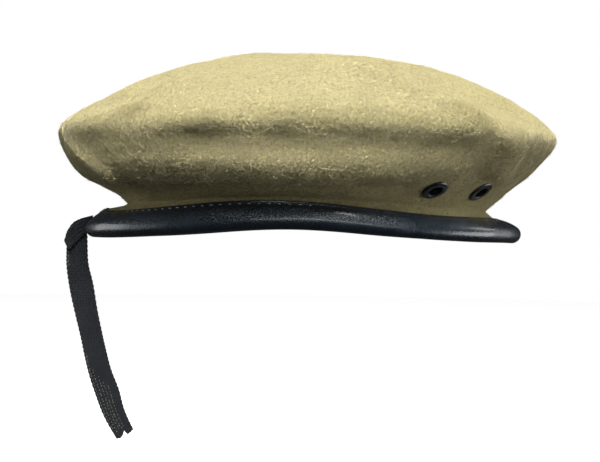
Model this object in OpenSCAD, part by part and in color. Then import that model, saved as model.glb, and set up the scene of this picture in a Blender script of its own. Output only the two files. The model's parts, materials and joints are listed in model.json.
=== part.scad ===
// Military beret: a one-piece felt crown with a leather-bound head opening,
// two vent eyelets, a fabric lining, a badge stiffener and a flat draw tape.
// +X is the wearer's front, +Y the wearer's left and +Z is up. The origin is
// the centre of the head opening, level with the lowest edge of the binding.

/* [Crown] */
// Length of the crown, front to back
crown_length = 264; // [250:1:275]
// Width of the crown, side to side
crown_width = 254; // [240:1:264]
// Height of the top of the crown above the lowest edge of the binding
crown_height = 98; // [92:1:106]
// Height of the rim at the front
rim_front = 53; // [50:0.5:56]
// Height of the rim at the back
rim_back = 56.5; // [53:0.5:60]
// Height of the rim at each side
rim_side = 49.5; // [46:0.5:52]
// Thickness of the felt
felt_t = 2.2; // [1.8:0.1:2.6]

/* [Head opening] */
// Length of the neck seam, front to back
neck_length = 191; // [186:0.2:196]
// Width of the neck seam, side to side
neck_width = 169.2; // [165:0.2:174]
// Thickness of the binding leather
leather_t = 1.1; // [0.8:0.1:1.2]
// Half thickness of the stuffed binding at the front
bulge_front = 4.6; // [4:0.1:4.8]
// Half thickness of the stuffed binding at the back
bulge_back = 4.9; // [4.4:0.1:5]
// Half thickness of the stuffed binding at the sides
bulge_side = 4; // [3.6:0.1:4.2]
// Distance between stitches along the binding
stitch_pitch = 4; // [3:0.5:6]

/* [Eyelets] */
// Radius of the vent hole
vent_r = 3.5; // [3:0.1:3.8]
// Outer radius of the eyelet's flange
flange_r = 6.6; // [5.8:0.1:6.8]
// Angle of the front eyelet, from the front towards the wearer's right
vent_front_angle = 37; // [36:1:42]
// Angle of the rear eyelet, from the front towards the wearer's right
vent_rear_angle = 56; // [54:0.5:60]

/* [Draw tape] */
// Width of the tape
tape_w = 11; // [9:0.5:11]
// Thickness of the tape
tape_t = 1.1; // [0.8:0.1:1.2]

/* [Hidden] */

felt_colour = [0.78, 0.73, 0.55];
leather_colour = [0.10, 0.12, 0.14];
lining_colour = [0.16, 0.16, 0.17];
tape_colour = [0.12, 0.12, 0.13];
thread_colour = [0.55, 0.53, 0.44];
eyelet_colour = [0.05, 0.05, 0.06];

gap = 0.2;                  // air between pieces that lie against each other
crown_a = crown_length / 2;
crown_b = crown_width / 2;
neck_a = neck_length / 2;
neck_b = neck_width / 2;
neck_z = [20.5, 16.4, 17.6];      // height of the neck: side, front, back
rim_z = [rim_side, rim_front, rim_back];

// Sections of the underside from the neck to the rim, as shares of the way
// out and of the way up. The wearer's right sags into a bulge above the neck
section_front = [[0, 0], [0.155, 0.16], [0.355, 0.34], [0.56, 0.51], [0.73, 0.68], [0.91, 0.84], [1, 1]];
section_back = [[0, 0], [0.15, 0.14], [0.38, 0.26], [0.64, 0.37], [0.81, 0.53], [0.92, 0.75], [1, 1]];
section_right = [[0, 0], [0.22, 0.09], [0.46, 0.19], [0.68, 0.31], [0.82, 0.49], [0.88, 0.74], [1, 1]];
section_left = [[0, 0], [0.32, 0.14], [0.58, 0.31], [0.78, 0.50], [0.91, 0.69], [0.98, 0.85], [1, 1]];

// Dome exponents: the plan one rounds the shoulder, the height one the top
dome_plan = [2.05, 2.1, 1.85];    // side, front, back
dome_rise = [1.65, 1.22, 1.26];

// Seam of the folded binding, as [half length or width, height], and half
// lengths and width of its tip. The fold flares out at the ends and hangs
// straight at the sides, where it also arches up
seam_front = [100.8, 10.8];
seam_side = [84.8, 18.4];
seam_back = [105.8, 11.9];
tip_front = 109.8;
tip_side = 85;
tip_back = 113.2;
tip_lift = 5.6;             // how far the binding's lowest edge rises over the ears
arch_middle = 99;           // angle of the arch's top from the front
arch_width = 34;
tip_arch_width = 25;
join_lift = 2.4;            // how far the seam rises where the binding's ends join
join_width = 13;
felt_tuck = 3;              // how far the felt reaches into the fold
slit_half_angle = 0.6;      // half the gap in the binding at the back

around = 60;                // stations round the crown
dome_steps = 13;
under_steps = 8;

// ---------------------------------------------------------------- vectors
function unit(v) = v / norm(v);
function flat(lists) = [for (l = lists) for (p = l) p];
function mix(p, q, t) = p + (q - p) * t;

// A value that is one thing at the side, another at the front and back.
// pair is [side, front, back] and q the angle from the front
function across(pair, q) =
    mix(pair[0], cos(q) > 0 ? pair[1] : pair[2], pow(cos(q), 2));

// Angle from the front on either side, from 0 to 180
function turned(q) = acos(cos(q));

// How much the side's shape counts at q: the sides arch up over the ears
function arch(q, width = arch_width) = exp(-pow((turned(q) - arch_middle) / width, 2));

// A height that arches up at the sides. heights is [side, front, back]
function arched(heights, q) =
    mix(mix(heights[2], heights[1], (1 + cos(q)) / 2), heights[0], arch(q));

// A point on an oval ring: each argument is [half length or width, height]
function oval(side, front, back, q) =
    [(cos(q) > 0 ? front[0] : back[0]) * cos(q), side[0] * sin(q),
     arched([side[1], front[1], back[1]], q)];

// Smooth curve through evenly spaced knots, t from 0 to 1
function through(knots, t) =
    let (last = len(knots) - 1, i = min(floor(t * last), last - 1), u = t * last - i,
         from = knots[i], to = knots[i + 1],
         from_slope = (to - knots[max(i - 1, 0)]) / (i > 0 ? 2 : 1),
         to_slope = (knots[min(i + 2, last)] - from) / (i < last - 1 ? 2 : 1))
    from * (1 + 2 * u) * pow(1 - u, 2) + to * u * u * (3 - 2 * u)
        + from_slope * u * pow(1 - u, 2) - to_slope * u * u * (1 - u);

// ---------------------------------------------------------- crown surface
// Outer felt surface: t from 0 at the neck to 1 at the rim
function under(q, t) =
    let (end = cos(q) > 0 ? section_front : section_back,
         side = sin(q) < 0 ? section_right : section_left,
         share = mix(through(end, t), through(side, t), arch(q)))
    [mix(neck_a, crown_a, share[0]) * cos(q), mix(neck_b, crown_b, share[0]) * sin(q),
     mix(arched(neck_z, q), across(rim_z, q), share[1])];

// Outer felt surface: t from 0 at the rim to 1 at the top
function dome(q, t) =
    let (reach = pow(cos(90 * t), 2 / across(dome_plan, q)),
         rise = pow(sin(90 * t), 2 / across(dome_rise, q)))
    [crown_a * reach * cos(q), crown_b * reach * sin(q),
     mix(across(rim_z, q), crown_height, rise)];

// s runs from -1 at the neck through 0 at the rim to 1 at the top
function crown(q, s) = s < 0 ? under(q, 1 + s) : dome(q, s);

function round_dir(q) = unit([-crown_a * sin(q), crown_b * cos(q), 0]);

// Outward direction of the felt at q and s
function crown_out(q, s) =
    let (step = 0.01, low = crown(q, max(s - step, -1)), high = crown(q, min(s + step, 1)))
    s > 0.995 ? [0, 0, 1] : unit(cross(round_dir(q), high - low));

// A point below the felt's outer surface
function inside_crown(q, s, depth) = crown(q, s) - crown_out(q, s) * depth;

// ---------------------------------------------------------- binding frame
function seam(q) = oval(seam_side, seam_front, seam_back, q)
    + [0, 0, join_lift * exp(-pow((180 - turned(q)) / join_width, 2))];
function tip(q) = [(cos(q) > 0 ? tip_front : tip_back) * cos(q), tip_side * sin(q),
                   bulge(q) + tip_lift * arch(q, tip_arch_width)];
function fold_along(q) = unit(tip(q) - seam(q));
function fold_out(q) =
    unit(cross(unit([-neck_a * sin(q), neck_b * cos(q), 0]), -fold_along(q)));
function bulge(q) = across([bulge_side, bulge_front, bulge_back], q);
function fold_length(q) = norm(tip(q) - seam(q));

// A point in the binding's own frame: u down from the seam, w outwards
function in_fold(q, u, w) = seam(q) + fold_along(q) * u + fold_out(q) * w;

mouth = felt_t / 2 + gap + leather_t;   // half thickness of the fold at its seam
function fold_half(q, share) = mix(mouth, bulge(q), sin(90 * share));

// -------------------------------------------------------------- meshing
function tube_faces(rings, sides) = concat(
    [for (i = [0 : rings - 2]) for (j = [0 : sides - 1])
        let (a = i * sides + j, b = i * sides + (j + 1) % sides)
        each [[a, b, b + sides], [a, b + sides, a + sides]]],
    [[for (j = [sides - 1 : -1 : 0]) j],
     [for (j = [0 : sides - 1]) (rings - 1) * sides + j]]);

// A solid swept through rings of points, closed by its two end rings
module swept(rings) {
    sides = len(rings[0]);
    polyhedron(points = flat(rings), faces = tube_faces(len(rings), sides), convexity = 8);
}

// A solid of revolution-like rings that close on themselves, with no poles
module hoop(rings) {
    n = len(rings);
    m = len(rings[0]);
    polyhedron(points = flat(rings), convexity = 8, faces = [
        for (i = [0 : n - 1]) for (j = [0 : m - 1])
            let (a = i * m + j, b = i * m + (j + 1) % m,
                 c = ((i + 1) % n) * m + (j + 1) % m, d = ((i + 1) % n) * m + j)
            each [[a, b, c], [a, c, d]]]);
}

// A solid whose paths all start at one pole and end at another
module poled(start, paths, finish) {
    n = len(paths);
    m = len(paths[0]);
    last = n * m;
    polyhedron(points = concat(flat(paths), [start, finish]), convexity = 8, faces = concat(
        [for (i = [0 : n - 1]) for (j = [0 : m - 2])
            let (a = i * m + j, b = ((i + 1) % n) * m + j)
            each [[a, b + 1, b], [a, a + 1, b + 1]]],
        [for (i = [0 : n - 1]) [last, i * m, ((i + 1) % n) * m]],
        [for (i = [0 : n - 1]) [last + 1, ((i + 1) % n) * m + m - 1, i * m + m - 1]]));
}

function spread(from, to, steps) = [for (i = [0 : steps]) mix(from, to, i / steps)];
function angles(steps) = [for (i = [0 : steps - 1]) 360 * i / steps];

// A curved sheet between two depths under the felt, over part of the crown
module crown_patch(q_from, q_to, q_steps, s_from, s_to, s_steps, depth, thick) {
    swept([for (q = spread(q_from, q_to, q_steps)) concat(
        [for (s = spread(s_from, s_to, s_steps)) inside_crown(q, s, depth)],
        [for (s = spread(s_to, s_from, s_steps)) inside_crown(q, s, depth + thick)])]);
}

// A full band of sheet between two depths under the felt
module crown_band(s_from, s_to, s_steps, depth, thick) {
    hoop([for (q = angles(around)) concat(
        [for (s = spread(s_from, s_to, s_steps)) inside_crown(q, s, depth)],
        [for (s = spread(s_to, s_from, s_steps)) inside_crown(q, s, depth + thick)])]);
}

// Moves a piece drawn about +Z so that it stands on the felt at q and s
module on_crown(q, s) {
    n = crown_out(q, s);
    translate(crown(q, s)) rotate([0, acos(n[2]), atan2(n[1], n[0])]) children();
}

// ------------------------------------------------------------ felt crown
rim_steps = concat([for (i = [under_steps - 1 : -1 : 0]) -i / under_steps],
                   [for (i = [1 : dome_steps - 1]) i / dome_steps]);

// One section of the felt, from under the top to the tucked edge and back
function felt_outer(q) = concat(
    [in_fold(q, felt_tuck, felt_t / 2), in_fold(q, 0, felt_t / 2), crown(q, -1)],
    [for (s = rim_steps) crown(q, s)]);
function felt_inner(q) = concat(
    [in_fold(q, felt_tuck, -felt_t / 2), in_fold(q, 0, -felt_t / 2),
     crown(q, -1) - unit([cos(q), sin(q), 0]) * felt_t * 1.25],
    [for (s = rim_steps) inside_crown(q, s, felt_t)]);
function backwards(list) = [for (i = [len(list) - 1 : -1 : 0]) list[i]];

lining_depth = 4.2;         // from the felt's outer face to the lining
lining_t = 0.6;
barrel_r = vent_r + 0.6;    // outside of the eyelet's barrel
vent_s = -0.74;             // how far down the underside the vents sit

module vent_holes() {
    for (a = [vent_front_angle, vent_rear_angle])
        on_crown(-a, vent_s)
            cylinder(r = barrel_r + gap, h = 20, center = true, $fn = 48);
}

module crown_felt() {
    color(felt_colour) difference() {
        poled([0, 0, crown_height],
              [for (q = angles(around)) concat(backwards(felt_outer(q)), felt_inner(q))],
              [0, 0, crown_height - felt_t]);
        vent_holes();
    }
}

// --------------------------------------------------------------- lining
module lining_top() {
    dome_from = 0.09;
    s_list = spread(dome_from, 1 - 1 / dome_steps, 9);
    color(lining_colour)
        poled([0, 0, crown_height - lining_depth],
              [for (q = angles(around)) concat(
                  [for (s = backwards(s_list)) inside_crown(q, s, lining_depth)],
                  [for (s = s_list) inside_crown(q, s, lining_depth + lining_t)])],
              [0, 0, crown_height - lining_depth - lining_t]);
}

module lining_side() {
    color(lining_colour) difference() {
        crown_band(-0.985, -0.1, 7, lining_depth, lining_t);
        vent_holes();
    }
}

// Fibre board that holds a badge over the wearer's left eye
module badge_stiffener() {
    color([0.45, 0.36, 0.24])
        crown_patch(24, 56, 8, 0.1, 0.46, 8, felt_t + 0.3, 1.2);
}

module size_label() {
    color([0.75, 0.75, 0.72])
        crown_patch(171, 189, 6, 0.12, 0.24, 3, lining_depth + lining_t + gap, 0.5);
}

// -------------------------------------------------------------- binding
leaf_steps = 4;
tip_steps = 6;

// Half section of the fold at a depth in from its outer face
function fold_line(q, inset) = concat(
    [for (i = [0 : leaf_steps - 1])
        [fold_length(q) * i / leaf_steps, fold_half(q, i / leaf_steps) - inset]],
    [for (i = [0 : tip_steps])
        let (a = 90 - 180 * i / tip_steps, r = bulge(q) - inset)
        [fold_length(q) + r * cos(a), r * sin(a)]],
    [for (i = [leaf_steps - 1 : -1 : 0])
        [fold_length(q) * i / leaf_steps, inset - fold_half(q, i / leaf_steps)]]);

function fold_section(q) =
    [for (p = concat(fold_line(q, 0), backwards(fold_line(q, leather_t))))
        in_fold(q, p[0], p[1])];

module leather_binding() {
    color(leather_colour)
        swept([for (q = spread(-180 + slit_half_angle, 180 - slit_half_angle, around))
            fold_section(q)]);
}

// ------------------------------------------------------------ draw tape
// The tape in the binding bunches up where the fold is narrow
function channel_section(q) =
    let (near = felt_tuck + 2.3, far = fold_length(q) + bulge(q) - leather_t - 0.9,
         half = mix(0.9, tape_t / 2, pow(cos(q), 2)))
    [in_fold(q, near, half), in_fold(q, far, half),
     in_fold(q, far, -half), in_fold(q, near, -half)];

module draw_tape_channel() {
    color(tape_colour)
        swept([for (q = spread(-178, 178, around)) channel_section(q)]);
}

// Route of the free tape's middle, in its own XZ plane: out of the slit at
// the back, over its fold and down to the cut end
tape_fold_route = [[-115.4, 7.6], [-117, 7.4], [-119, 6.6], [-121, 5], [-122.6, 3.2],
    [-123.5, 1.9], [-123.7, 1]];
tape_end_route = [[-123.7, -0.8], [-123.8, -4], [-124, -9], [-123.8, -14], [-122.8, -20],
    [-121.4, -26], [-120, -33], [-118.5, -40], [-117, -46], [-115.4, -53], [-113.8, -59],
    [-112.3, -65], [-110.5, -72], [-108.4, -78], [-106.2, -85], [-104, -91], [-101.6, -98],
    [-99, -104], [-97.3, -108]];

// Flat tube along a route: eight sides, rounded at its two edges
function ribbon_ring(route, i) =
    let (before = route[max(i - 1, 0)], after = route[min(i + 1, len(route) - 1)],
         d = unit(after - before), across_w = [-d[1], d[0]])
    [for (c = [[0.5, 0.2], [0.46, 0.5], [-0.46, 0.5], [-0.5, 0.2],
               [-0.5, -0.2], [-0.46, -0.5], [0.46, -0.5], [0.5, -0.2]])
        let (p = route[i] + across_w * c[0] * tape_w) [p[0], c[1] * tape_t, p[1]]];

module ribbon(route) {
    swept([for (i = [0 : len(route) - 1]) ribbon_ring(route, i)]);
}

module draw_tape_fold() { color(tape_colour) ribbon(tape_fold_route); }
module draw_tape_end() { color(tape_colour) ribbon(tape_end_route); }

// -------------------------------------------------------------- eyelets
washer_z = -(lining_depth + lining_t + 0.35);
washer_t = 0.6;
lip_t = 0.7;

module eyelet(q) {
    bottom = washer_z - washer_t - 0.1 - lip_t;
    color(eyelet_colour) on_crown(q, vent_s)
        rotate_extrude($fn = 64) polygon([
            [vent_r, bottom], [barrel_r + 1, bottom], [barrel_r + 1, bottom + lip_t - 0.2],
            [barrel_r + 0.6, bottom + lip_t], [barrel_r, bottom + lip_t], [barrel_r, 0.3],
            [flange_r, 0.3], [flange_r, 0.7], [flange_r - 0.5, 1.2], [flange_r - 1.3, 1.4],
            [vent_r + 0.25, 1.4], [vent_r, 1.2]]);
}

module eyelet_washer(q) {
    color(eyelet_colour) on_crown(q, vent_s) translate([0, 0, washer_z - washer_t])
        difference() {
            cylinder(r = flange_r, h = washer_t, $fn = 64);
            translate([0, 0, -1])
                cylinder(r = barrel_r + 0.1, h = washer_t + 2, $fn = 64);
        }
}

module eyelet_front() { eyelet(-vent_front_angle); }
module eyelet_rear() { eyelet(-vent_rear_angle); }
module eyelet_washer_front() { eyelet_washer(-vent_front_angle); }
module eyelet_washer_rear() { eyelet_washer(-vent_rear_angle); }

// ------------------------------------------------------------- stitches
stitch_r = 0.45;
stitch_l = 1.9;
seam_round = PI * ((seam_front[0] + seam_back[0]) / 2 + seam_side[0]);

// A short thread lying along direction d at point p
module thread(p, d, length) {
    translate(p) rotate([0, acos(d[2]), atan2(d[1], d[0])])
        cylinder(r = stitch_r, h = length, center = true, $fn = 16);
}

module binding_stitches(face) {
    count = round(seam_round / stitch_pitch);
    u = 1.8;
    for (i = [2 : count - 2]) {
        q = 180 + 360 * i / count;
        share = u / fold_length(q);
        p = in_fold(q, u, face * (fold_half(q, share) + 0.1));
        thread(p, unit(in_fold(q + 0.5, u, 0) - in_fold(q - 0.5, u, 0)), stitch_l);
    }
}

module binding_stitches_outer() { color(thread_colour) binding_stitches(1); }
module binding_stitches_inner() { color(thread_colour) binding_stitches(-1); }

// Tacks that hold the lining's lower hem to the felt
module lining_hem_stitches() {
    count = 48;
    s = -0.965;
    color(lining_colour) for (i = [0 : count - 1]) {
        q = 360 * (i + 0.5) / count;
        thread(inside_crown(q, s, lining_depth + lining_t + 0.2), round_dir(q), 3);
    }
}

// Close thread bars that join the binding's two ends at the back
module back_bar_tack() {
    bars = 4;
    color(thread_colour) for (i = [0 : bars - 1]) {
        u = 0.6 + i * 0.95;
        thread(in_fold(180, u, fold_half(180, u / fold_length(180)) + 0.1), [0, 1, 0], 7);
    }
}

crown_felt();
lining_top();
lining_side();
badge_stiffener();
leather_binding();
draw_tape_channel();
draw_tape_fold();
draw_tape_end();
eyelet_front();
eyelet_rear();
eyelet_washer_front();
eyelet_washer_rear();
binding_stitches_outer();
binding_stitches_inner();
lining_hem_stitches();
back_bar_tack();
size_label();
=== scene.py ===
"""Looks of the felt beret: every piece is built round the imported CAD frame, in metres.

+X is the wearer's front, +Y the wearer's left, +Z up. Angles go round the crown from the front.
"""
import json
import math

import bmesh
import bpy
import numpy as np
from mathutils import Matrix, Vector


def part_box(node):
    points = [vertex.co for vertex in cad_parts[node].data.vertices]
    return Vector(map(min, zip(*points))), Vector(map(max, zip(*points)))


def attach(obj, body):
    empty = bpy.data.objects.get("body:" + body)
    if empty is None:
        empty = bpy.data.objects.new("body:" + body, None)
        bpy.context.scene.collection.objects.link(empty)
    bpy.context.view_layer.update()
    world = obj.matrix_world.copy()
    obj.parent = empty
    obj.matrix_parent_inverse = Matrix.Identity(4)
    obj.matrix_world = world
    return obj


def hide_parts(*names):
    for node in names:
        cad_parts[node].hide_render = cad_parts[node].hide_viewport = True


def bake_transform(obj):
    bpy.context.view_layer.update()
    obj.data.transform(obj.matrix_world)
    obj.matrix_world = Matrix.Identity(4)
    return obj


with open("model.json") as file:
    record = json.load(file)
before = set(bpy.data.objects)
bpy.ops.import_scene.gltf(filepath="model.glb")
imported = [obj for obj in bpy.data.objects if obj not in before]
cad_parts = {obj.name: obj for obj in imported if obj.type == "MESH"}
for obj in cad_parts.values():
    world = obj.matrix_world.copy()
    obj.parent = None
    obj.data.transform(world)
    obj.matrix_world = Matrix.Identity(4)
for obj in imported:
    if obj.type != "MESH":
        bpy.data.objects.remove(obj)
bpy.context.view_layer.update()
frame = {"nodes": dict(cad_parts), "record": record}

MM = 0.001
TURN = 2 * math.pi
FRONT, LEFT, BACK, RIGHT = 0.0, 0.25 * TURN, 0.5 * TURN, 0.75 * TURN

# ------------------------------------------------------------------ camera, lights and stage
# The eye is level with the head opening's edge, on the wearer's right
EYE_DISTANCE = 0.600
EYE_X, EYE_Z = -0.0035, 0.0049
VIEW_WIDTH = 0.324          # width of the view at the middle of the object
SENSOR = 36.0               # mm
TILT = math.radians(-0.8)   # the front hangs a little lower in the picture

camera_data = bpy.data.cameras.new("camera")
camera_data.sensor_width = SENSOR
camera_data.lens = SENSOR * EYE_DISTANCE / VIEW_WIDTH
camera = bpy.data.objects.new("camera", camera_data)
camera.location = (EYE_X, -EYE_DISTANCE, EYE_Z)
camera.rotation_euler = (math.pi / 2, TILT, 0)
bpy.context.collection.objects.link(camera)
bpy.context.scene.camera = camera
bpy.context.scene.view_settings.view_transform = "Standard"


def area_light(name, size, power, place, aim, colour=(1, 1, 1), length=None):
    """A soft light at place, turned to face aim: a square, or a level strip of some length."""
    data = bpy.data.lights.new(name, "AREA")
    data.size = size
    data.energy = power
    data.color = colour
    if length:
        data.shape = "RECTANGLE"
        data.size = length
        data.size_y = size
    lamp = bpy.data.objects.new(name, data)
    lamp.location = place
    direction = np.array(aim) - np.array(place)
    lamp.rotation_euler = (
        math.atan2(math.hypot(direction[0], direction[1]), -direction[2]), 0,
        math.atan2(direction[1], direction[0]) - math.pi / 2)
    bpy.context.collection.objects.link(lamp)
    return lamp


WARM = (1.0, 0.97, 0.92)
area_light("key_light", 0.9, 42.0, (0.05, -0.85, 1.00), (0, 0, 0.03), WARM)
area_light("top_light", 0.9, 12.0, (0.0, 0.10, 1.25), (0, 0, 0), WARM)
area_light("nose_light", 0.8, 8.2, (1.38, -0.10, -0.25), (0, 0, 0.04), WARM)
area_light("back_light", 1.0, 1.8, (-1.42, -0.14, 0.06), (0, 0, 0.04), WARM)
area_light("far_nose_light", 0.9, 2.4, (1.40, 0.50, 0.06), (0, 0, 0.03))
area_light("far_back_light", 0.9, 4.5, (-1.40, 0.45, 0.12), (0, 0, 0.03))
# A long softbox that draws the shine along the leather's roll
area_light("roll_light", 0.07, 2.9, (0.25, -1.3, 0.20), (0, 0, 0.01), length=1.7)
area_light("sheen_light", 0.4, 1.6, (1.20, 0.42, 0.75), (0.1, 0, 0.01))

world = bpy.data.worlds.new("world")
world.use_nodes = True
world.node_tree.nodes["Background"].inputs["Color"].default_value = (1, 1, 1, 1)
world.node_tree.nodes["Background"].inputs["Strength"].default_value = 0.03
bpy.context.scene.world = world

FLOOR_Z = -0.26
ROOM_R = 4.0


def pale_room():
    """A pale floor and a plain pale surround. Neither throws light back on the object."""
    bpy.ops.mesh.primitive_circle_add(vertices=96, radius=ROOM_R, fill_type="NGON",
                                      location=(0, 0, FLOOR_Z))
    floor = bpy.context.object
    floor.name = "floor"
    bpy.ops.mesh.primitive_uv_sphere_add(segments=64, ring_count=32, radius=ROOM_R)
    surround = bpy.context.object
    surround.name = "surround"
    for thing, colour, glow in ((floor, 0.80, 0.92), (surround, 0.0, 1.0)):
        material = bpy.data.materials.new(thing.name)
        material.use_nodes = True
        shader = material.node_tree.nodes["Principled BSDF"]
        shader.inputs["Base Color"].default_value = (colour, colour, colour, 1)
        shader.inputs["Roughness"].default_value = 1.0
        shader.inputs["Specular IOR Level"].default_value = 0.0
        shader.inputs["Emission Color"].default_value = (1, 1, 1, 1)
        shader.inputs["Emission Strength"].default_value = glow
        thing.data.materials.append(material)
        thing.visible_diffuse = False
        thing.visible_glossy = False
        thing.visible_shadow = False


pale_room()


# ------------------------------------------------------------------ mesh helpers
def mesh_object(name, points, faces, material, smooth=True):
    """An object from an array of points and a list of faces."""
    mesh = bpy.data.meshes.new(name)
    mesh.from_pydata([tuple(p) for p in points], [], [tuple(int(i) for i in f) for f in faces])
    mesh.validate()
    shell = bmesh.new()
    shell.from_mesh(mesh)
    bmesh.ops.recalc_face_normals(shell, faces=shell.faces)
    shell.to_mesh(mesh)
    shell.free()
    mesh.polygons.foreach_set("use_smooth", [smooth] * len(mesh.polygons))
    made = bpy.data.objects.new(name, mesh)
    bpy.context.collection.objects.link(made)
    mesh.materials.append(material)
    return made


def grid_faces(rows, columns, wrap_rows=False, wrap_columns=False, start=0):
    """Quads of a rows by columns grid of points, numbered row by row."""
    faces = []
    for i in range(rows if wrap_rows else rows - 1):
        for j in range(columns if wrap_columns else columns - 1):
            a = start + i * columns + j
            b = start + i * columns + (j + 1) % columns
            c = start + ((i + 1) % rows) * columns + (j + 1) % columns
            d = start + ((i + 1) % rows) * columns + j
            faces.append((a, d, c, b))
    return faces


def smooth_step(x):
    x = np.clip(x, 0, 1)
    return x * x * (3 - 2 * x)


def unit(v):
    return v / np.maximum(np.linalg.norm(v, axis=-1, keepdims=True), 1e-12)


def wavy(points, size, seed, octaves=2):
    """Smooth noise from -1 to 1 at each point: a few crossed sine waves of about that size."""
    rng = np.random.default_rng(seed)
    total = np.zeros(len(points))
    weight = 0
    for octave in range(octaves):
        share = 0.5 ** octave
        for _ in range(6):
            wave = unit(rng.normal(size=3)) * TURN / (size * 0.5 ** octave * rng.uniform(0.8, 1.4))
            total += share * np.sin(points @ wave + rng.uniform(0, TURN))
        weight += share * math.sqrt(6)
    return total / weight


# ------------------------------------------------------------------ material helpers
class Nodes:
    """A material's node tree, built one short call at a time."""

    def __init__(self, name, **shader_values):
        self.material = bpy.data.materials.new(name)
        self.material.use_nodes = True
        self.tree = self.material.node_tree
        self.shader = self.tree.nodes["Principled BSDF"]
        for key, value in shader_values.items():
            self.shader.inputs[key.replace("_", " ")].default_value = value
        self.place = self.tree.nodes.new("ShaderNodeTexCoord").outputs["Object"]

    def add(self, kind, inputs=(), **settings):
        node = self.tree.nodes.new(kind)
        for key, value in settings.items():
            setattr(node, key, value)
        for key, value in dict(inputs).items():
            if isinstance(value, bpy.types.NodeSocket):
                self.tree.links.new(value, node.inputs[key])
            else:
                node.inputs[key].default_value = value
        return node

    def stretched(self, scale):
        """The place in the object, scaled along each axis."""
        return self.add("ShaderNodeMapping", {"Vector": self.place, "Scale": scale}).outputs[0]

    def noise(self, size, detail=3, roughness=0.55, vector=None, distortion=0.0):
        """Noise whose features are about size metres across."""
        return self.add("ShaderNodeTexNoise", {
            "Vector": vector or self.place, "Scale": 1 / size, "Detail": detail,
            "Roughness": roughness, "Distortion": distortion}).outputs["Fac"]

    def strands(self, size, distortion):
        """Thin curved lines, about size metres apart, where a noise crosses its middle value."""
        centred = self.add("ShaderNodeMath", {0: self.noise(size, 4, 0.65, distortion=distortion),
                                              1: 0.5}, operation="SUBTRACT").outputs[0]
        away = self.add("ShaderNodeMath", {0: centred}, operation="ABSOLUTE").outputs[0]
        return self.spread(away, 0.0, 0.035, 1.0, 0.0)

    def cells(self, size, feature="F1"):
        return self.add("ShaderNodeTexVoronoi", {"Vector": self.place, "Scale": 1 / size},
                        feature=feature).outputs["Distance"]

    def ramp(self, value, stops):
        """Colours along a value: stops are (position, colour)."""
        node = self.add("ShaderNodeValToRGB", {"Fac": value})
        ramp = node.color_ramp
        while len(ramp.elements) < len(stops):
            ramp.elements.new(0.5)
        for element, (position, colour) in zip(ramp.elements, stops):
            element.position = position
            element.color = (*colour, 1)
        return node.outputs["Color"]

    def spread(self, value, low, high, to_low=0.0, to_high=1.0):
        return self.add("ShaderNodeMapRange", {
            "Value": value, "From Min": low, "From Max": high, "To Min": to_low,
            "To Max": to_high}).outputs["Result"]

    def blend(self, share, a, b, mode="MIX"):
        """Colour b over colour a by share, which is a socket or a number."""
        node = self.add("ShaderNodeMix", data_type="RGBA", blend_type=mode)
        for index, value in ((0, share), (6, a), (7, b)):
            if isinstance(value, bpy.types.NodeSocket):
                self.tree.links.new(value, node.inputs[index])
            elif index == 0:
                node.inputs[index].default_value = value
            else:
                node.inputs[index].default_value = (*value, 1)
        return node.outputs[2]

    def total(self, *terms):
        """The sum of (value, factor) pairs."""
        made = None
        for value, factor in terms:
            term = self.add("ShaderNodeMath", {0: value, 1: factor}, operation="MULTIPLY").outputs[0]
            made = term if made is None else self.add(
                "ShaderNodeMath", {0: made, 1: term}, operation="ADD").outputs[0]
        return made

    def colour(self, socket):
        self.tree.links.new(socket, self.shader.inputs["Base Color"])

    def roughness(self, socket):
        self.tree.links.new(socket, self.shader.inputs["Roughness"])

    def bump(self, height, distance, strength=1.0):
        node = self.add("ShaderNodeBump", {"Height": height, "Distance": distance,
                                           "Strength": strength})
        self.tree.links.new(node.outputs[0], self.shader.inputs["Normal"])


# ------------------------------------------------------------------ materials
def felt_material():
    """Milled wool: mottled khaki with paler fibres and a soft nap."""
    m = Nodes("wool_felt", Roughness=0.95, Sheen_Weight=0.25, Sheen_Roughness=0.5,
              Specular_IOR_Level=0.15)
    m.shader.inputs["Sheen Tint"].default_value = (0.95, 0.90, 0.62, 1)
    cloud = m.noise(0.020, 3)
    grain = m.noise(0.0014, 4, 0.7)
    fibre = m.strands(0.0022, 2.5)
    cross_fibre = m.strands(0.0016, 3.0)
    base = m.ramp(cloud, [(0.30, (0.50, 0.430, 0.190)), (0.70, (0.60, 0.528, 0.245))])
    mottled = m.blend(m.spread(grain, 0.35, 0.70), base, (0.69, 0.62, 0.31))
    dark = m.blend(m.spread(grain, 0.34, 0.48, 0.60, 0.0), mottled, (0.26, 0.22, 0.09))
    pale = m.blend(m.spread(fibre, 0.0, 1.0, 0.0, 0.40), dark, (0.88, 0.81, 0.55))
    m.colour(m.blend(m.spread(cross_fibre, 0.0, 1.0, 0.0, 0.35), pale, (0.20, 0.17, 0.08)))
    m.bump(m.total((grain, 1.0), (fibre, 0.8), (cross_fibre, -0.5), (m.noise(0.004, 2), 0.6)),
           0.0012, 1.0)
    return m.material


def leather_material():
    """Black binding leather: fine grain, a soft shine and a cool tint."""
    m = Nodes("binding_leather", Specular_IOR_Level=0.65, Coat_Weight=0.55, Coat_Roughness=0.14)
    m.shader.inputs["Specular Tint"].default_value = (0.82, 0.93, 1.0, 1)
    cells = m.cells(0.0008)
    fine = m.noise(0.0005, 3, 0.6)
    broad = m.noise(0.012, 2)
    m.colour(m.ramp(broad, [(0.3, (0.007, 0.012, 0.019)), (0.7, (0.013, 0.020, 0.030))]))
    m.roughness(m.spread(m.total((fine, 0.5), (broad, 0.5)), 0.35, 0.65, 0.23, 0.33))
    m.bump(m.total((cells, 0.7), (fine, 0.5)), 0.00022, 0.8)
    return m.material


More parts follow.
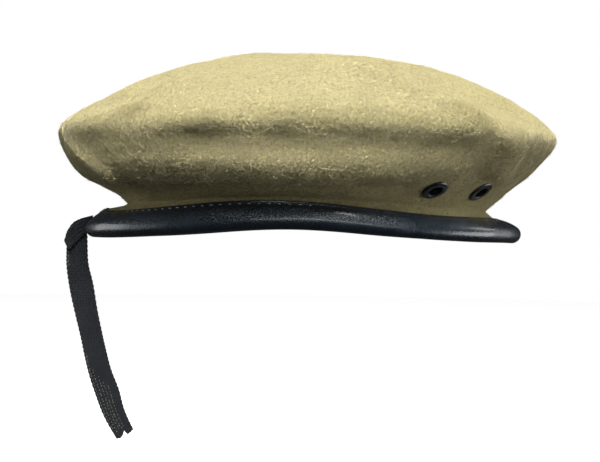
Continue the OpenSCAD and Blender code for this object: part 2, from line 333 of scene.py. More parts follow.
def cloth_material(name, low, high, weave, roughness=0.8, sheen=0.3, depth=0.0002):
    """A woven cloth whose threads are weave metres apart."""
    m = Nodes(name, Roughness=roughness, Sheen_Weight=sheen, Specular_IOR_Level=0.3)
    waves = [m.add("ShaderNodeTexWave", {"Vector": m.place, "Scale": 1 / (weave * TURN),
                                         "Distortion": 0.6, "Detail": 1.0},
                   bands_direction=axis).outputs["Fac"] for axis in ("X", "Y", "Z")]
    pattern = m.total((waves[0], 0.4), (waves[1], 0.4), (waves[2], 0.4))
    tone = m.total((m.noise(0.006, 3), 0.6), (pattern, 0.35))
    m.colour(m.ramp(tone, [(0.25, low), (0.75, high)]))
    m.bump(pattern, depth, 0.8)
    return m.material


def thread_material(name, low, high):
    m = Nodes(name, Roughness=0.7, Sheen_Weight=0.3)
    m.colour(m.ramp(m.noise(0.0008, 2), [(0.3, low), (0.7, high)]))
    m.bump(m.noise(0.0003, 2, 0.5, m.stretched((1.0, 1.0, 2.5))), 0.0001, 0.7)
    return m.material


def enamel_material():
    """Black enamelled brass, with brighter worn patches."""
    m = Nodes("black_enamel", Metallic=0.35, Specular_IOR_Level=0.6, Coat_Weight=0.25,
              Coat_Roughness=0.2)
    worn = m.noise(0.0015, 4, 0.65)
    m.colour(m.ramp(worn, [(0.45, (0.006, 0.007, 0.010)), (0.78, (0.045, 0.050, 0.060))]))
    m.roughness(m.spread(worn, 0.3, 0.7, 0.28, 0.50))
    m.bump(m.noise(0.0009, 2), 0.00008, 0.5)
    return m.material


def board_material():
    m = Nodes("fibre_board", Roughness=0.85)
    m.colour(m.ramp(m.noise(0.0018, 4, 0.7), [(0.3, (0.16, 0.10, 0.05)), (0.7, (0.30, 0.20, 0.11))]))
    m.bump(m.noise(0.0008, 3), 0.0002, 0.6)
    return m.material


FELT = felt_material()
LEATHER = leather_material()
LINING = cloth_material("lining_cloth", (0.012, 0.012, 0.014), (0.034, 0.034, 0.038), 0.0007, 0.55)
TAPE = cloth_material("braided_tape", (0.007, 0.009, 0.013), (0.018, 0.021, 0.027), 0.0008, sheen=0.15)
TAPE_DOTS = thread_material("tape_dots", (0.08, 0.08, 0.065), (0.17, 0.17, 0.14))
THREAD = thread_material("khaki_thread", (0.40, 0.38, 0.30), (0.70, 0.67, 0.56))
BLACK_THREAD = thread_material("black_thread", (0.010, 0.010, 0.010), (0.030, 0.030, 0.030))
ENAMEL = enamel_material()
BOARD = board_material()
NAP = thread_material("nap_fibre", (0.44, 0.39, 0.20), (0.72, 0.66, 0.41))
LABEL = cloth_material("label_cloth", (0.46, 0.46, 0.43), (0.62, 0.62, 0.58), 0.0006)

# ------------------------------------------------------------------ crown shape
felt_low, felt_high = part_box("crown_felt")
CROWN_A = (felt_high.x - felt_low.x) / 2
CROWN_B = (felt_high.y - felt_low.y) / 2
CROWN_TOP = felt_high.z
FELT_T = 2.2 * MM

NECK_A, NECK_B = 95.5 * MM, 84.6 * MM

# Heights in mm, each for the side, the front and the back
NECK_Z = (20.5, 16.4, 17.6)
RIM_Z = (49.5, 53, 56.5)

# Underside sections from the neck to the rim, as shares of the way out and of the way up
SECTIONS = {
    "front": [(0, 0), (0.155, 0.16), (0.355, 0.34), (0.56, 0.51), (0.73, 0.68), (0.91, 0.84), (1, 1)],
    "back": [(0, 0), (0.15, 0.14), (0.38, 0.26), (0.64, 0.37), (0.81, 0.53), (0.92, 0.75), (1, 1)],
    "right": [(0, 0), (0.22, 0.09), (0.46, 0.19), (0.68, 0.31), (0.82, 0.49), (0.88, 0.74), (1, 1)],
    "left": [(0, 0), (0.32, 0.14), (0.58, 0.31), (0.78, 0.50), (0.91, 0.69), (0.98, 0.85), (1, 1)]}

# Dome exponents for the side, front and back: the plan one rounds the shoulder, the rise one the top
DOME_PLAN = (2.05, 2.1, 1.85)
DOME_RISE = (1.65, 1.22, 1.26)
ARCH_MIDDLE, ARCH_WIDTH = math.radians(99), math.radians(34)
TIP_ARCH = math.radians(94), math.radians(29)


def mix(a, b, share):
    return a + (b - a) * share


def through(values, t):
    """A smooth curve through evenly spaced values, read at each t from 0 to 1."""
    values = np.asarray(values, float)
    slope = np.gradient(values)
    place = np.asarray(t, float) * (len(values) - 1)
    i = np.clip(np.floor(place).astype(int), 0, len(values) - 2)
    u = place - i
    return (values[i] * (1 + 2 * u) * (1 - u) ** 2 + values[i + 1] * u * u * (3 - 2 * u)
            + slope[i] * u * (1 - u) ** 2 - slope[i + 1] * u * u * (1 - u))


def turned(q):
    """Angle from the front on either side, from 0 to half a turn."""
    return np.arccos(np.clip(np.cos(q), -1, 1))


def arch(q, middle=ARCH_MIDDLE, width=ARCH_WIDTH):
    """How much the side's shape counts at q: the sides arch up over the ears."""
    return np.exp(-((turned(q) - middle) / width) ** 2)


def across(values, q):
    """What is one thing at the side, another at the front and the back, blended by angle."""
    side, front, back = values
    return mix(side, np.where(np.cos(q) > 0, front, back), np.cos(q) ** 2)


def arched(values, q):
    """A height that arches up at the sides."""
    side, front, back = values
    return mix(mix(back, front, (1 + np.cos(q)) / 2), side, arch(q))


def crown_grid(angles, places):
    """Points of the felt's outer face: rows go round, columns run from the neck (-1) to the top (1)."""
    q = angles[:, None]
    s = places[None, :] + 0 * q
    t = 1 + np.minimum(s, 0)
    shares = {name: [through([knot[i] for knot in section], t) for i in (0, 1)]
              for name, section in SECTIONS.items()}
    out, up = (mix(np.where(np.cos(q) > 0, shares["front"][i], shares["back"][i]),
                   np.where(np.sin(q) < 0, shares["right"][i], shares["left"][i]), arch(q))
               for i in (0, 1))
    rim = across(RIM_Z, q) * MM
    turn = np.maximum(s, 0) * math.pi / 2
    reach = np.cos(turn) ** (2 / across(DOME_PLAN, q))
    rise = np.sin(turn) ** (2 / across(DOME_RISE, q))
    above = s > 0
    x = np.where(above, CROWN_A * reach, mix(NECK_A, CROWN_A, out)) * np.cos(q)
    y = np.where(above, CROWN_B * reach, mix(NECK_B, CROWN_B, out)) * np.sin(q)
    z = np.where(above, mix(rim, CROWN_TOP, rise), mix(arched(NECK_Z, q) * MM, rim, up))
    return np.stack([x, y, z], axis=-1)


def grid_out(grid):
    """Outward direction at each point of a grid that closes on itself round its rows."""
    round_way = np.roll(grid, -1, axis=0) - np.roll(grid, 1, axis=0)
    up_way = np.gradient(grid, axis=1)
    return unit(np.cross(round_way, up_way))


def softened(grid, first, last, passes):
    """The grid with its columns from first to last smoothed along each row."""
    for _ in range(passes):
        middle = (grid[:, :-2] + grid[:, 2:]) / 2
        grid[:, first:last] += 0.5 * (middle[:, first - 1:last - 1] - grid[:, first:last])
    return grid


def line_distance(points, line):
    """Distance from each point to a chain of straight stretches, and the share of the way along it."""
    line = np.asarray(line, float) * MM
    best = np.full(len(points), 1e9)
    along = np.zeros(len(points))
    stretches = len(line) - 1
    for i, (a, b) in enumerate(zip(line[:-1], line[1:])):
        t = np.clip(((points - a) @ (b - a)) / ((b - a) @ (b - a)), 0, 1)
        away = np.linalg.norm(points - a - t[:, None] * (b - a), axis=1)
        along = np.where(away < best, (i + t) / stretches, along)
        best = np.minimum(best, away)
    return best, along


NARROW = 5                  # folds under this half width, in mm, fade out at both ends

# Folds and hollows of the worn felt: (height, half width, the points it runs through), in mm
FOLDS = [
    (1.4, 7, [(-114, -62, 57), (-100, -80, 58)]),
    (3.6, 4.5, [(-104, -76, 57), (-82, -94, 60), (-75, -97, 61), (-70, -95, 66),
                (-62, -91, 71), (-52, -83, 78)]),
    (1.2, 9, [(-52, -83, 78), (-38, -66, 87), (-22, -40, 94)]),
    (-3.4, 12, [(-104, -60, 66), (-89, -77, 67), (-79, -78, 73), (-66, -72, 80)]),
    (1.5, 18, [(-58, -20, 90), (-44, -20, 93)]),
    (-1.6, 32, [(0, -10, 98), (20, 10, 98)]),
    (3.8, 4.5, [(-6, -70, 90), (14, -89, 81), (33, -99, 74), (47, -105, 67), (62, -104, 62),
                (78, -98, 58), (98, -83, 55)]),
    (-3.2, 12, [(40, -84, 80), (55, -88, 74), (70, -87, 70), (84, -84, 65), (98, -68, 64)]),
    (-1.2, 13, [(112, 20, 68), (114, -20, 67)]),
    (2.8, 3.8, [(-121, -44, 50), (-112, -59, 43), (-101, -69, 36), (-93, -71, 31), (-88, -61, 27)]),
    (-3.4, 4.8, [(-119, -38, 44), (-112, -50, 39), (-105, -56, 35)]),
    (-3.6, 9, [(-52, -113, 45), (-39, -119, 47)]),
    (-2.4, 9, [(-20, -124, 43), (15, -124, 43), (39, -117, 43), (70, -102, 43)]),
    (2.4, 7, [(-14, -124, 58), (20, -124, 58), (50, -115, 57), (74, -102, 57)]),
    (-2.0, 7, [(84, -94, 47), (82, -86, 41), (80, -78, 35)]),
    (5.0, 9, [(97, -84, 49), (96, -77, 43), (92, -70, 37)]),
    (2.6, 9, [(-60, -111, 56), (-50, -117, 55), (-39, -119, 54)]),
    (-2.6, 22, [(-96, -20, 72), (-86, 20, 78)]),
    (2.6, 13, [(-122, -8, 66), (-127, -8, 56)]),
    (-1.2, 18, [(-30, -100, 70), (-14, -102, 70)]),
    (0.6, 22, [(60, -20, 88), (84, 10, 82)]),
    (2.2, 10, [(-60, 40, 92), (-30, 84, 84), (10, 104, 74), (54, 108, 62)]),
    (-2.6, 12, [(-70, 98, 48), (-30, 118, 46)]),
    (2.4, 7, [(-118, 40, 48), (-100, 62, 38), (-88, 62, 30)]),
    (-2.2, 8, [(-124, 28, 46), (-108, 46, 36)]),
    (-2.4, 11, [(40, 112, 44), (80, 98, 46)]),
]


# Double bulge of the side that sags: (height in mm, place, half width) along the underside
SAGS = [(0.75, -0.52, 0.11), (-0.5, -0.24, 0.12), (-1.4, -0.72, 0.10)]


def sagging():
    """How far the wearer's right stands out, for each angle and place of the crown."""
    q = crown_angles[:, None]
    s = crown_places[None, :]
    right = np.exp(-((np.angle(np.exp(1j * (q + 1.50)))) / 0.80) ** 4) * (0.8 + 0.2 * np.sin(5 * q + 0.8))
    wander = 0.02 * np.sin(7 * q + 1.0) + 0.015 * np.sin(13 * q)
    return sum(tall * MM * right * np.exp(-((s - place - wander) / half_width) ** 2)
               for tall, place, half_width in SAGS)


def relief(points, out):
    """How far each point of the felt stands out from its plain shape, in metres."""
    height = 0.75 * MM * wavy(points, 0.075, 3) + 0.30 * MM * wavy(points, 0.020, 5)
    height += 0.10 * MM * wavy(points, 0.006, 7)
    for tall, half_width, line in FOLDS:
        away, along = line_distance(points, line)
        fade = 1.0
        if half_width < NARROW:
            fade = mix(0.1, 1.0, smooth_step(4 * np.minimum(along, 1 - along)))
        height += tall * fade * MM * np.exp(-(away / (half_width * MM)) ** 2)
    return height


ROUND_STEPS = 400
UNDER_STEPS = 44
DOME_STEPS = 72
crown_angles = np.arange(ROUND_STEPS) * TURN / ROUND_STEPS
crown_places = np.concatenate([np.linspace(-1, 0, UNDER_STEPS, endpoint=False),
                               np.linspace(0, 1, DOME_STEPS, endpoint=False)])


def eyelet_frames():
    """Middle and outward axis of each vent, from the record's mounts."""
    found = []
    for mount in frame["record"]["mounts"]:
        if mount["kind"] == "bore":
            axis = np.array(mount["axis"], float)
            axis /= np.linalg.norm(axis)
            found.append((mount["name"], np.array(mount["pos_m"]), axis))
    return found


FLANGE_FOOT = 2.87 * MM      # from the middle of the vent's bore out to the felt's face


def worn_crown():
    """The felt's outer face with its folds, its rim rounded and pressed flat under the vents."""
    grid = crown_grid(crown_angles, crown_places)
    grid = softened(grid, UNDER_STEPS - 12, UNDER_STEPS + 14, 45)
    out = grid_out(grid)
    flat = grid.reshape(-1, 3)
    fade = np.ones(len(crown_places))
    fade[:6] = np.linspace(0, 1, 6)
    height = (relief(flat, out.reshape(-1, 3)).reshape(grid.shape[:2]) + sagging()) * fade[None, :]
    grid = grid + out * height[..., None]
    for _, middle, axis in eyelet_frames():
        away = grid - middle
        along = away @ axis
        across = np.linalg.norm(away - along[..., None] * axis, axis=-1)
        near = 1 - smooth_step((across - 6.5 * MM) / (11 * MM))
        near = np.where(np.abs(along) < 20 * MM, near, 0)
        grid = grid + (near * (FLANGE_FOOT - along))[..., None] * axis
    return grid


crown_face = worn_crown()
crown_out = grid_out(crown_face)
apex = crown_face[:, -1].mean(axis=0) * np.array([0, 0, 1])


# ------------------------------------------------------------------ binding shape
# Each in mm, for the side, the front and the back
SEAM_REACH, SEAM_Z = (84.8, 100.8, 105.8), (18.4, 10.8, 11.9)
TIP_REACH, TIP_LIFT = (85, 109.8, 113.2), 5.6     # the lowest edge rises over the ears
BULGE = (4.0, 4.6, 4.9)
JOIN_LIFT, JOIN_WIDTH = 2.4, math.radians(13)       # the seam rises where the ends join
LEATHER_T = 1.1 * MM
MOUTH = 2.4 * MM            # half thickness of the fold at its seam
FELT_TUCK = 3.0 * MM


class Fold:
    """The binding's own frame at each angle: u runs down from the seam, w outwards."""

    def __init__(self, q):
        q = np.asarray(q, float)

        def oval(reach, height):
            side, front, back = reach
            return MM * np.stack([np.where(np.cos(q) > 0, front, back) * np.cos(q),
                                  side * np.sin(q), height], axis=-1)
        join = JOIN_LIFT * np.exp(-((math.pi - turned(q)) / JOIN_WIDTH) ** 2)
        self.seam = oval(SEAM_REACH, arched(SEAM_Z, q) + join)
        tip = oval(TIP_REACH, across(BULGE, q) + TIP_LIFT * arch(q, *TIP_ARCH))
        self.length = np.linalg.norm(tip - self.seam, axis=-1)
        self.down = unit(tip - self.seam)
        self.round = unit(np.stack([-NECK_A * np.sin(q), NECK_B * np.cos(q), 0 * q], axis=-1))
        self.out = unit(np.cross(self.round, -self.down))
        self.bulge = across(BULGE, q) * MM

    def point(self, u, w):
        """Points at u and w, which are numbers or one value for each angle."""
        u, w = (np.asarray(v, float) * np.ones(len(self.seam)) for v in (u, w))
        return self.seam + self.down * u[:, None] + self.out * w[:, None]

    def half(self, share):
        """Half thickness of the fold at a share of the way down to its tip."""
        return MOUTH + (self.bulge - MOUTH) * np.sin(np.pi / 2 * share)


fold = Fold(crown_angles)


# ------------------------------------------------------------------ crown felt
def crown_felt():
    """A closed felt shell: outer face, the edge tucked in the binding, and inner face."""
    lip = [fold.point(FELT_TUCK, FELT_T / 2), fold.point(2.2 * MM, FELT_T / 2),
           fold.point(0, FELT_T / 2), fold.point(-1.1 * MM, FELT_T * 0.42)]
    inner_lip = [fold.point(FELT_TUCK, -FELT_T / 2), fold.point(2.2 * MM, -FELT_T / 2),
                 fold.point(0, -FELT_T / 2), fold.point(-1.1 * MM, -FELT_T * 0.55)]
    inner = crown_face - crown_out * FELT_T
    columns = [crown_face[:, i] for i in range(len(crown_places) - 1, -1, -1)]
    columns += lip[::-1] + inner_lip
    columns += [inner[:, i] for i in range(len(crown_places))]
    grid = np.stack(columns, axis=1)
    rows, across = grid.shape[:2]
    points = list(grid.reshape(-1, 3))
    faces = grid_faces(rows, across, wrap_rows=True)
    top, under_top = len(points), len(points) + 1
    points += [apex, apex - np.array([0, 0, FELT_T])]
    for i in range(rows):
        after = (i + 1) % rows
        faces.append((top, i * across, after * across))
        faces.append((under_top, after * across + across - 1, i * across + across - 1))
    made = mesh_object("felt_crown", points, faces, FELT)
    for _, middle, axis in eyelet_frames():
        cut_hole(made, middle, axis)
    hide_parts("crown_felt")
    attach(made, "root")
    return made


HOLE_R = 4.3 * MM


def cut_hole(piece, middle, axis):
    """A round hole through piece along axis."""
    bpy.ops.mesh.primitive_cylinder_add(vertices=40, radius=HOLE_R, depth=26 * MM)
    cutter = bpy.context.object
    cutter.location = middle
    turn = np.array([0, 0, 1.0])
    cutter.rotation_euler = (0, math.acos(axis @ turn), math.atan2(axis[1], axis[0]))
    bpy.context.view_layer.update()
    modifier = piece.modifiers.new("hole", "BOOLEAN")
    modifier.object = cutter
    modifier.solver = "EXACT"
    apply_modifiers(piece)
    bpy.data.objects.remove(cutter)


def apply_modifiers(piece):
    """Replaces the piece's mesh with what its modifiers make of it."""
    shape = bpy.context.evaluated_depsgraph_get()
    made = bpy.data.meshes.new_from_object(piece.evaluated_get(shape))
    old = piece.data
    piece.modifiers.clear()
    piece.data = made
    bpy.data.meshes.remove(old)


# ------------------------------------------------------------------ leather binding
SLIT = math.radians(1.15)
LEATHER_ROUND = 480
LEAF_STEPS, TIP_STEPS, EDGE_STEPS = 12, 14, 3


def leather_relief(q, u):
    """Gathers of the leather at the front and back, and dimples where the thread pulls it down."""
    front = np.exp(-(np.abs(np.angle(np.exp(1j * (q + 0.12)))) / 0.30) ** 2)
    back = np.exp(-(np.abs(np.angle(np.exp(1j * (q - math.pi)))) / 0.25) ** 2)
    near_seam = np.exp(-((u - 3 * MM) / (5 * MM)) ** 2)
    pleats = (0.5 + 0.5 * np.cos(q * 41 + 0.8 * np.sin(q * 9) + u * 260)) ** 3
    gathers = -1.25 * MM * near_seam * (front + 0.3 * back) * pleats
    roll = 0.14 * MM * np.sin(q * 5 + 1.0) + 0.05 * MM * np.sin(q * 13 + 2.0 + u * 180)
    groove = -0.28 * MM * np.exp(-((u - STITCH_DOWN) / (0.8 * MM)) ** 2)
    return gathers + roll + groove * (0.75 + 0.25 * np.cos(q * STITCHES))


STITCHES = 143
STITCH_DOWN = 1.1 * MM


def leather_binding():
    """One strip folded over the felt's edge, with its two ends meeting at the back."""
    q = np.linspace(-math.pi + SLIT, math.pi - SLIT, LEATHER_ROUND)
    frame_here = Fold(q)

    def line(inset):
        rows = []
        for i in range(LEAF_STEPS):
            share = i / LEAF_STEPS
            rows.append((frame_here.length * share, frame_here.half(share) - inset))
        for i in range(TIP_STEPS + 1):
            turn = math.pi / 2 - math.pi * i / TIP_STEPS
            radius = frame_here.bulge - inset
            rows.append((frame_here.length + radius * math.cos(turn), radius * math.sin(turn)))
        for i in range(LEAF_STEPS - 1, -1, -1):
            share = i / LEAF_STEPS
            rows.append((frame_here.length * share, inset - frame_here.half(share)))
        return rows

    def edge(sign):
        """The rounded cut edge of one leaf, above its seam."""
        rows = []
        for i in range(1, EDGE_STEPS + 1):
            turn = math.pi * i / (EDGE_STEPS + 1)
            rows.append((0 * q - 0.5 * LEATHER_T * math.sin(turn),
                         sign * (frame_here.half(0) - LEATHER_T / 2
                                 - 0.5 * LEATHER_T * math.cos(turn))))
        return rows
    outer, inner = line(0), line(LEATHER_T)
    section = outer + edge(-1)[::-1] + inner[::-1] + edge(1)
    columns = []
    for index, (u, w) in enumerate(section):
        lift = leather_relief(q, u) if index < len(outer) else 0 * q
        columns.append(frame_here.point(u, w + np.sign(w) * lift))
    grid = np.stack(columns, axis=1)
    rows, across = grid.shape[:2]
    faces = grid_faces(rows, across, wrap_columns=True)
    faces.append(tuple(range(across)))
    faces.append(tuple((rows - 1) * across + j for j in range(across - 1, -1, -1)))
    made = mesh_object("binding", grid.reshape(-1, 3), faces, LEATHER)
    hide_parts("leather_binding")
    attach(made, "root")
    return made


# ------------------------------------------------------------------ tubes and threads
def tube(points, radius, sides=8, ends=True):
    """Points and faces of a round tube along a chain of points, closed at its two ends."""
    points = np.asarray(points, float)
    count = len(points)
    ahead = unit(np.gradient(points, axis=0))
    reference = np.array([0, 0, 1.0]) if abs(ahead[0][2]) < 0.9 else np.array([1.0, 0, 0])
    side = unit(np.cross(ahead, reference))
    over = np.cross(side, ahead)
    turn = np.arange(sides) * TURN / sides
    radii = np.full(count, radius) if np.isscalar(radius) else np.asarray(radius)
    rings = (points[:, None] + radii[:, None, None]
             * (side[:, None] * np.cos(turn)[None, :, None] + over[:, None] * np.sin(turn)[None, :, None]))
    faces = grid_faces(count, sides, wrap_columns=True)
    faces.append(tuple(range(sides)))
    faces.append(tuple((count - 1) * sides + j for j in range(sides - 1, -1, -1)))
    return rings.reshape(-1, 3), faces


def joined(name, parts, material):
    """One object from several lots of points and faces."""
    points, faces, start = [], [], 0
    for part_points, part_faces in parts:
        points.append(part_points)
        faces += [tuple(i + start for i in face) for face in part_faces]
        start += len(part_points)
    return mesh_object(name, np.concatenate(points), faces, material)


def stitch(middle, way, up, length, radius, rise):
    """One thread of a lockstitch: it comes up, lies on the surface and goes down again."""
    t = np.linspace(-1, 1, 9)
    line = (middle + way * (t * length / 2)[:, None] + up * (rise * (1 - t ** 4))[:, None])
    return tube(line, radius * (1 - 0.35 * t ** 6), 7)


def binding_stitches(name, face, node):
    angles = math.pi + TURN * np.arange(2, STITCHES - 1) / STITCHES
    here = Fold(angles)
    share = STITCH_DOWN / here.length
    # The thread bites deepest round the front and the back, where the leather is gathered
    bite = 0.35 + 0.65 * smooth_step((np.abs(turned(angles) - math.radians(118)) - 0.44) / 0.12)
    middles = here.point(STITCH_DOWN, face * (here.half(share) - bite * MM))
    rng = np.random.default_rng(11)
    parts = []
    for i in range(len(angles)):
        way = unit(here.round[i] + here.down[i] * rng.uniform(0.02, 0.16))
        parts.append(stitch(middles[i], way, here.out[i] * face, 1.4 * MM * rng.uniform(0.8, 1.2),
                            0.19 * MM, 0.56 * MM))
    made = joined(name, parts, THREAD)
    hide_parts(node)
    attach(made, "root")
    return made


# ------------------------------------------------------------------ lining, board and label
def smoothed(grid, passes, wrap=True):
    """The grid relaxed towards its neighbours: cloth that bridges small hollows."""
    for _ in range(passes):
        along = grid.copy()
        along[:, 1:-1] = (grid[:, :-2] + grid[:, 2:]) / 2
        if wrap:
            round_way = (np.roll(grid, 1, axis=0) + np.roll(grid, -1, axis=0)) / 2
        else:
            round_way = grid.copy()
            round_way[1:-1] = (grid[:-2] + grid[2:]) / 2
        grid = 0.5 * grid + 0.25 * along + 0.25 * round_way
    return grid


def under_felt(name, material, rows, columns, depth, thick, passes, pole=False, gathers=0.0):
    """A closed sheet that follows the felt's inside at a depth, over some rows and columns."""
    wrap = len(rows) == ROUND_STEPS
    face = crown_face[np.ix_(rows, columns)] - crown_out[np.ix_(rows, columns)] * depth
    face = smoothed(face, passes, wrap)
    inward = -crown_out[np.ix_(rows, columns)]
    if gathers:
        near_hem = np.exp(-np.arange(len(columns)) / 9.0)[None, :]
        folds = np.cos(crown_angles[rows] * 96)[:, None] + np.cos(crown_angles[rows] * 41 + 1)[:, None]
        face = face + inward * (gathers * near_hem * (1 + 0.5 * folds))[..., None]
    count, across_count = face.shape[:2]
    back = face + inward * thick
    points = np.concatenate([face.reshape(-1, 3), back.reshape(-1, 3)])
    size = count * across_count
    faces = grid_faces(count, across_count, wrap_rows=wrap)
    faces += [tuple(i + size for i in reversed(f)) for f in faces]
    turns = range(count if wrap else count - 1)
    hems = [0] if pole else [0, across_count - 1]
    for j in hems:
        for i in turns:
            a, b = i * across_count + j, ((i + 1) % count) * across_count + j
            quad = (a, b, b + size, a + size)
            faces.append(quad if j == 0 else quad[::-1])
    if not wrap:
        for i in (0, count - 1):
            for j in range(across_count - 1):
                a, b = i * across_count + j, i * across_count + j + 1
                quad = (a, a + size, b + size, b)
                faces.append(quad if i == 0 else quad[::-1])
    if pole:
        tips = [face[:, -1].mean(axis=0), back[:, -1].mean(axis=0)]
        points = np.concatenate([points, tips])
        for i in turns:
            a, b = i * across_count + across_count - 1, ((i + 1) % count) * across_count + across_count - 1
            faces.append((2 * size, a, b))
            faces.append((2 * size + 1, b + size, a + size))
    return mesh_object(name, points, faces, material)


def columns_between(low, high):
    return np.where((crown_places >= low) & (crown_places <= high))[0]


def rows_between(low, high):
    degrees = np.degrees(crown_angles)
    return np.where((degrees >= low) & (degrees <= high))[0]


LINING_DEPTH = 4.2 * MM
all_rows = np.arange(ROUND_STEPS)


def linings():
    top = under_felt("crown_lining", LINING, all_rows, columns_between(0.03, 1), LINING_DEPTH,
                     0.5 * MM, 30, pole=True)
    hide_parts("lining_top")
    side = under_felt("side_lining", LINING, all_rows, columns_between(-0.985, -0.02), LINING_DEPTH,
                      0.5 * MM, 30, gathers=0.35 * MM)
    for _, middle, axis in eyelet_frames():
        cut_hole(side, middle, axis)
    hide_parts("lining_side")
    for piece in (top, side):
        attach(piece, "root")


def board_and_label():
    board = under_felt("badge_board", BOARD, rows_between(24, 56), columns_between(0.1, 0.46),
                       FELT_T + 0.3 * MM, 1.2 * MM, 12)
    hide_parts("badge_stiffener")
    label = under_felt("blank_label", LABEL, rows_between(171, 189), columns_between(0.12, 0.24),
                       LINING_DEPTH + 0.8 * MM, 0.4 * MM, 12)
    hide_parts("size_label")
    for piece in (board, label):
        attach(piece, "root")


# Its two edges in the XZ plane, in mm: bunched out of the slit to a corner, doubled back
# behind that, then hanging
BUNCH_UPPER = [(-115.4, 11.8), (-118.4, 11.0), (-122, 9.8), (-125.8, 7.6), (-128.8, 3.2), (-130.4, -2.0)]
BUNCH_LOWER = [(-115.4, 2.2), (-118.2, 2.3), (-120.9, 0.7), (-123.4, -1.7), (-125.9, -4.5), (-128, -6.9)]
HANG_LEFT = [(-129.2, 3), (-129.5, -7), (-129.3, -17), (-127.4, -29), (-124.5, -41), (-121.3, -53),
             (-118.9, -63.5), (-116.2, -74.5), (-112.4, -86), (-108.1, -97), (-101.2, -109)]
HANG_RIGHT = [(-118.8, 9.2), (-118.5, -3), (-117.9, -14.5), (-115.1, -25.5), (-112.6, -39),
              (-109.8, -51.5), (-107.6, -60.5), (-104.7, -71), (-100.4, -82), (-97.2, -93.3),
              (-92.3, -104.3)]
TAPE_ACROSS = 56
BUNCH_ROWS, LINK_ROWS, HANG_ROWS = 40, 12, 190
SCALLOP, SCALLOP_ROWS = 0.28 * MM, 4


def edge_points(knots, count):
    """Points in the XZ plane along a smooth curve through knots in mm."""
    t = np.linspace(0, 1, count)
    return np.stack([through([k[0] for k in knots], t), through([k[1] for k in knots], t)], axis=-1) * MM


def tape_middle():
    """The tape's middle surface: rows run along it from the slit, columns across it."""
    share = np.linspace(0, 1, TAPE_ACROSS)
    lots = []
    upper, lower = edge_points(BUNCH_UPPER, BUNCH_ROWS), edge_points(BUNCH_LOWER, BUNCH_ROWS)
    a = np.linspace(0, 1, BUNCH_ROWS)[:, None]
    swell = smooth_step((a - 0.10) / 0.30)
    ridges = np.abs(np.cos(math.pi * 4.5 * share + 0.4))[None, :] ** 0.7
    y = -swell * (0.6 * MM + 0.6 * MM * ridges * (1 - 0.35 * a))
    lots.append((upper, lower, y))
    left, right = edge_points(HANG_LEFT, HANG_ROWS), edge_points(HANG_RIGHT, HANG_ROWS)
    b = np.linspace(0, 1, LINK_ROWS)[:, None]
    lots.append((mix(upper[-1], left[0], b), mix(lower[-1], right[0], b),
                 (-0.35 + 0.85 * b) * MM + 0 * share[None, :]))
    c = np.linspace(0, 1, HANG_ROWS)[:, None]
    turn_over = smooth_step(c / 0.03)
    sway = 0.8 * MM * np.sin(c * 7 + 0.5) + 0.5 * MM * np.sin(c * 13) * (share[None, :] - 0.5)
    y = (0.5 + 0.5 * turn_over) * MM + sway * smooth_step((c - 0.08) / 0.2)
    y = y + 0.10 * MM * np.cos(share[None, :] * TURN * 11 + 0.9 * np.sin(c * 260))
    lots.append((left, right, y))
    grids = []
    for one, other, y in lots:
        plane = one[:, None] + (other - one)[:, None] * share[None, :, None]
        grids.append(np.stack([plane[..., 0], y, plane[..., 1]], axis=-1))
    grid = np.concatenate(grids)
    # The braid's edges are slightly scalloped
    along = np.arange(len(grid))[:, None]
    edge = np.abs(2 * share - 1)[None, :] ** 12 * np.sign(share - 0.5)[None, :]
    grid[:, :, 0] += SCALLOP * edge * np.abs(np.sin(along * math.pi / SCALLOP_ROWS))
    ragged = 1.1 * MM * wavy(np.stack([share, 0 * share, 0 * share], axis=-1) * 11 * MM, 4 * MM, 21)
    ragged += 2.2 * MM * np.exp(-((share - 0.48) / 0.10) ** 2)
    near_end = smooth_step((np.arange(len(grid)) - len(grid) + 9) / 8)
    grid[:, :, 2] += near_end[:, None] * ragged[None, :]
    return grid


def draw_tape():
    """The flat braid that hangs from the back, with its light open-work dots."""
    grid = tape_middle()
    out = unit(np.cross(np.gradient(grid, axis=1), np.gradient(grid, axis=0)))
    share = np.linspace(0, 1, TAPE_ACROSS)
    half = 0.36 * MM * (1 - 0.6 * np.abs(2 * share - 1) ** 8)[None, :, None]
    rows, count = grid.shape[:2]
    points = np.concatenate([(grid + out * half).reshape(-1, 3), (grid - out * half).reshape(-1, 3)])
    size = rows * count
    faces = grid_faces(rows, count)
    faces += [tuple(i + size for i in reversed(f)) for f in faces]
    border = [(0, j) for j in range(count)] + [(i, count - 1) for i in range(1, rows)]
    border += [(rows - 1, j) for j in range(count - 2, -1, -1)] + [(i, 0) for i in range(rows - 2, 0, -1)]
    for (i, j), (k, m) in zip(border, border[1:] + border[:1]):
        a, b = i * count + j, k * count + m
        faces.append((a, b, b + size, a + size))
    made = mesh_object("hanging_tape", points, faces, TAPE)
    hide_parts("draw_tape_fold", "draw_tape_end")
    dots = tape_dots(grid, out)
    for piece in (made, dots):
        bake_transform(piece)
    return made


# Rows of open-work dots: (share across the tape, where the row starts and ends down the tape)
DOT_ROWS = [(0.10, 0.05, 0.20), (0.07, 0.60, 0.97), (0.22, 0.68, 0.98), (0.36, 0.72, 0.98),
            (0.49, 0.75, 0.97), (0.61, 0.77, 0.97)]
DOT_PITCH = 1.6 * MM


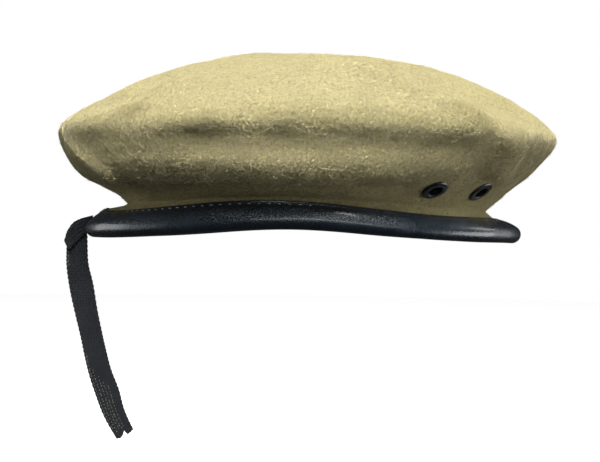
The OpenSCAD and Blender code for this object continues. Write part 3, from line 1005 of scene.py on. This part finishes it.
def tape_dots(grid, out):
    parts = []
    hang = grid[BUNCH_ROWS + LINK_ROWS:]
    hang_out = out[BUNCH_ROWS + LINK_ROWS:]
    step = np.linalg.norm(np.diff(hang[:, TAPE_ACROSS // 2], axis=0), axis=1).mean()
    for across_share, start, end in DOT_ROWS:
        column = int(round(across_share * (TAPE_ACROSS - 1)))
        for place in np.arange(start * HANG_ROWS, end * HANG_ROWS, DOT_PITCH / step):
            i = int(place)
            for side in (1, -1):
                middle = hang[i, column] + hang_out[i, column] * side * 0.34 * MM
                along = unit(hang[i + 1, column] - hang[i - 1, column])
                parts.append(stitch(middle, along, hang_out[i, column] * side, 0.75 * MM,
                                    0.20 * MM, 0.12 * MM))
    made = joined("tape_open_work", parts, TAPE_DOTS)
    return made


# ------------------------------------------------------------------ back tack and nap
def bar_tack():
    """Close threads that draw the binding's two ends together."""
    here = Fold(np.full(11, math.pi))
    u = np.linspace(1.0, 4.2, 11) * MM
    middles = here.point(u, here.half(u / here.length) + 0.05 * MM)
    rng = np.random.default_rng(5)
    parts = []
    for i in range(len(u)):
        t = np.linspace(-1, 1, 13)
        half_length = 3.3 * MM * rng.uniform(0.9, 1.05)
        line = middles[i] + np.outer(t * half_length, (0, 1, 0)) + here.down[i] * rng.uniform(-0.1, 0.1) * MM
        line = line + here.out[i] * ((0.32 - 0.75 * np.abs(t) ** 6) * MM)[:, None]
        parts.append(tube(line, 0.17 * MM, 7))
    made = joined("back_tack", parts, THREAD)
    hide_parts("back_bar_tack")
    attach(made, "root")


NAP_COUNT = 16000
LONG_HAIRS = 60


def nap_fibres():
    """Short pale fibres lying on the felt: each is a thin closed spike."""
    rng = np.random.default_rng(31)
    rows = rng.integers(0, ROUND_STEPS, NAP_COUNT)
    columns = rng.choice(np.arange(3, len(crown_places) - 12), NAP_COUNT)
    rubbed = 10000         # most of it where the side is rubbed up
    rows[:rubbed] = rng.integers(int(0.55 * ROUND_STEPS), int(0.95 * ROUND_STEPS), rubbed)
    columns[:rubbed] = rng.integers(UNDER_STEPS // 3, UNDER_STEPS + 3, rubbed)
    start = crown_face[rows, columns]
    out = crown_out[rows, columns]
    spare = np.array([np.linalg.norm(start - middle, axis=1) > 8.5 * MM
                      for _, middle, _ in eyelet_frames()]).all(axis=0)
    start, out = start[spare], out[spare]
    count = len(start)
    heading = unit(np.cross(out, unit(rng.normal(size=(count, 3)))))
    length = rng.uniform(1.2, 4.0, count) * MM
    length[:LONG_HAIRS] = rng.uniform(7, 13, LONG_HAIRS) * MM
    thick = np.full(count, 0.09 * MM)
    thick[:LONG_HAIRS] = 0.08 * MM
    bend = np.cross(out, heading) * rng.uniform(-0.35, 0.35, count)[:, None]
    side = np.cross(out, heading)
    points, faces = [], []
    for k in range(count):
        stations = []
        for t in (0.0, 0.35, 0.7):
            middle = (start[k] + heading[k] * length[k] * t + bend[k] * length[k] * t * t
                      + out[k] * (0.02 + 0.25 * math.sin(math.pi * t)) * length[k] * 0.35)
            radius = thick[k] * (1 - 0.6 * t)
            stations.append([middle + side[k] * radius, middle + out[k] * radius,
                             middle - side[k] * radius])
        tip = start[k] + heading[k] * length[k] + bend[k] * length[k] + out[k] * 0.12 * MM
        base = 10 * k
        points += stations[0] + stations[1] + stations[2] + [tip]
        for ring in (0, 3):
            for j in range(3):
                a, b = base + ring + j, base + ring + (j + 1) % 3
                faces.append((a, a + 3, b + 3, b))
        for j in range(3):
            faces.append((base + 6 + j, base + 9, base + 6 + (j + 1) % 3))
        faces.append((base, base + 1, base + 2))
    made = mesh_object("felt_nap", points, faces, NAP)
    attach(made, "root")


crown_felt()
leather_binding()
binding_stitches("outer_stitches", 1, "binding_stitches_outer")
binding_stitches("inner_stitches", -1, "binding_stitches_inner")
bar_tack()
linings()
board_and_label()
draw_tape()
nap_fibres()

for node, material in (("eyelet_front", ENAMEL), ("eyelet_rear", ENAMEL),
                       ("eyelet_washer_front", ENAMEL), ("eyelet_washer_rear", ENAMEL),
                       ("draw_tape_channel", TAPE), ("lining_hem_stitches", BLACK_THREAD)):
    slots = frame["nodes"][node].data.materials
    if len(slots):
        slots[0] = material
    else:
        slots.append(material)
